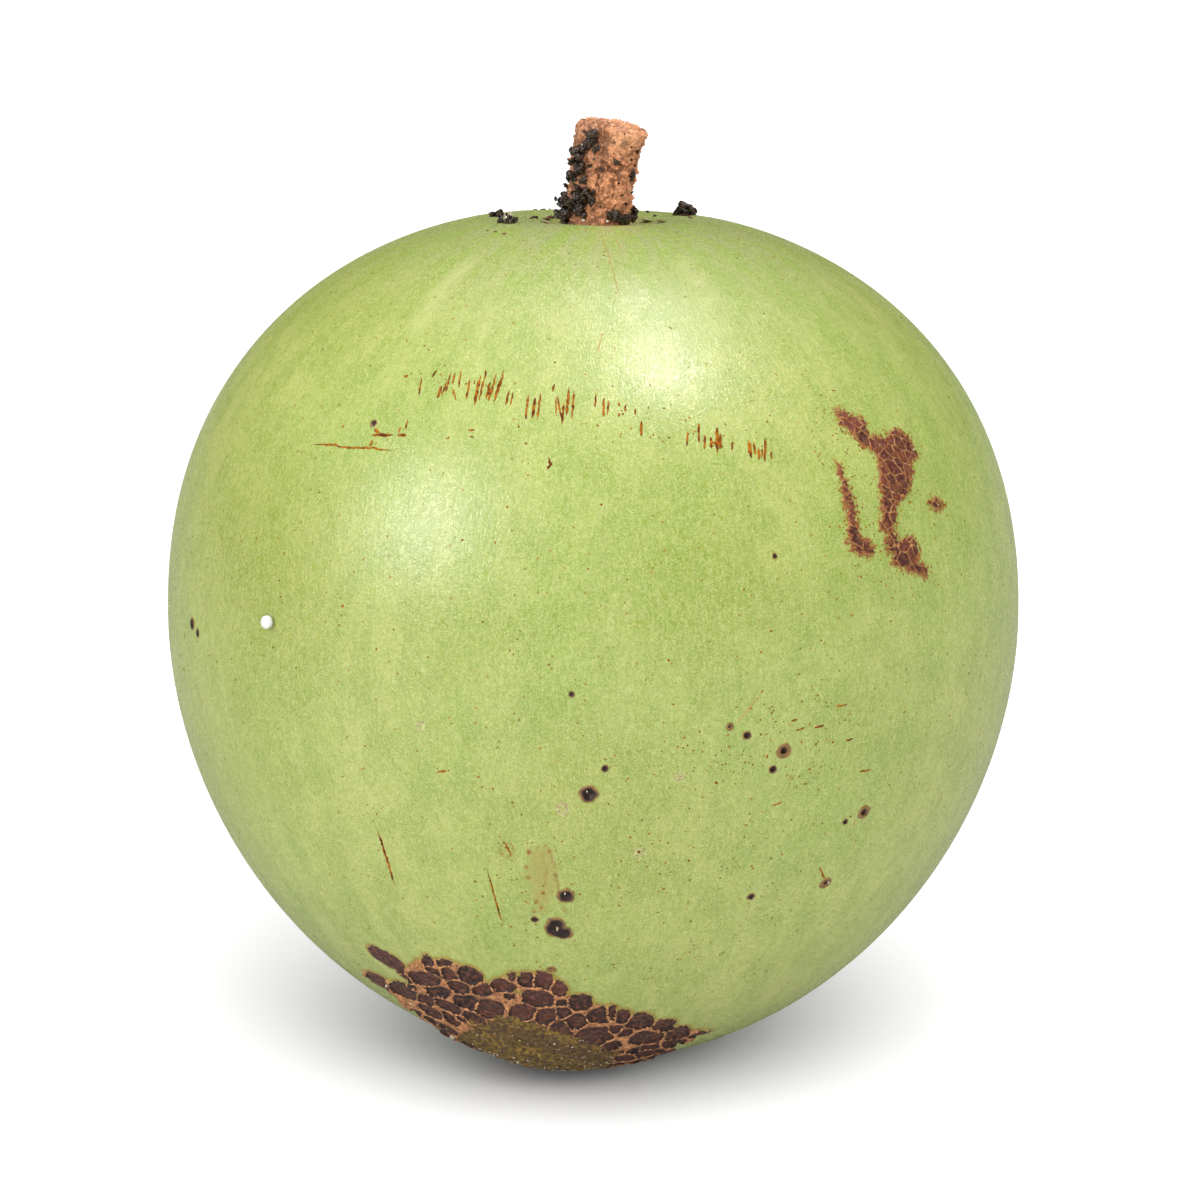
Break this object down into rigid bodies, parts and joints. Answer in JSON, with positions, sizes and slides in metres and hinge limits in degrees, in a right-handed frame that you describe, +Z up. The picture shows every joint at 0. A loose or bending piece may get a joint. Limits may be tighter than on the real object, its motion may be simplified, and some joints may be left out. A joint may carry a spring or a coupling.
{
  "type": "star apple",
  "caption": "Whole green star apple fruit with a short cut stalk, a crusty brown blossom scar and dark crumbs round the stalk.",
  "frame": {"origin": "middle of the small flat spot that the fruit rests on", "axes": "+Z up through the fruit towards the stalk, -Y towards the side with the blossom scar, +X to the right seen from that side"},
  "size_m": [0.0799, 0.0801, 0.088],
  "materials": {
    "skin": "waxy satin skin, pale yellow-green",
    "bark": "rough corky bark",
    "grit": "dark crumbly dirt with a slight gloss",
    "bead": "smooth pearly white"
  },
  "bodies": {
    "root": {"fruit": "skin", "stem": "bark", "bead": "bead", "grit_stem_left": "grit", "grit_stem_right": "grit", "grit_rim_right": "grit", "grit_rim_left": "grit", "grit_rim_left_far": "grit"}
  },
  "joints": []
}
